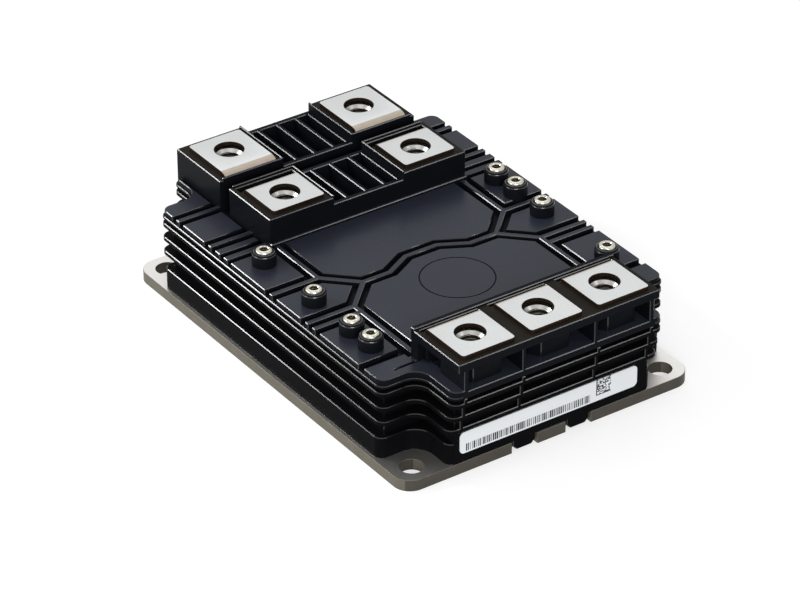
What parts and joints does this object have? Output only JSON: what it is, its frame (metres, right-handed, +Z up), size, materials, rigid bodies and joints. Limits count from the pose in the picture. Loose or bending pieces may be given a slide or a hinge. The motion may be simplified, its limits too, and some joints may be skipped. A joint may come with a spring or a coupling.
{
  "type": "igbt module",
  "caption": "Black moulded power transistor module on a metal base plate, with creepage fins, plated screw terminals on raised blocks and threaded control terminals.",
  "frame": {"origin": "centre of the four fixing holes, on the underside of the base plate", "axes": "+X towards the output terminals, +Y towards the left long side, +Z up out of the base plate"},
  "size_m": [0.1435, 0.1, 0.0396],
  "materials": {
    "nickel_base": "nickel plated, matt",
    "black_moulding": "black glass-filled moulding, satin",
    "black_frame": "black glass-filled moulding, satin",
    "terminal_plating": "nickel plated copper sheet, satin",
    "nut_plating": "nickel plated steel",
    "insert_plating": "nickel plated brass",
    "pin_metal": "tinned brass",
    "board_laminate": "glass-epoxy laminate with green mask",
    "bare_copper": "bare copper",
    "ceramic": "unglazed ceramic",
    "silicon": "silicon with a metal face",
    "bond_metal": "drawn aluminium wire",
    "gel": "clear silicone gel",
    "adhesive": "cured silicone adhesive",
    "label_film": "white label film"
  },
  "bodies": {
    "root": {"base_plate": "nickel_base", "adhesive_bead": "adhesive", "housing_frame": "black_frame", "top_cover": "black_moulding", "label": "label_film", "outer_busbar": "terminal_plating", "inner_busbar": "terminal_plating", "output_busbar": "terminal_plating", "outer_nuts": "nut_plating", "inner_nuts": "nut_plating", "output_nuts": "nut_plating", "control_inserts": "insert_plating", "control_pins": "pin_metal", "gate_board": "board_laminate", "riser_pins": "pin_metal", "lower_copper": "bare_copper", "ceramics": "ceramic", "upper_copper": "bare_copper", "igbt_chips": "silicon", "diode_chips": "silicon", "bond_wires": "bond_metal", "silicone_gel": "gel"}
  },
  "joints": []
}
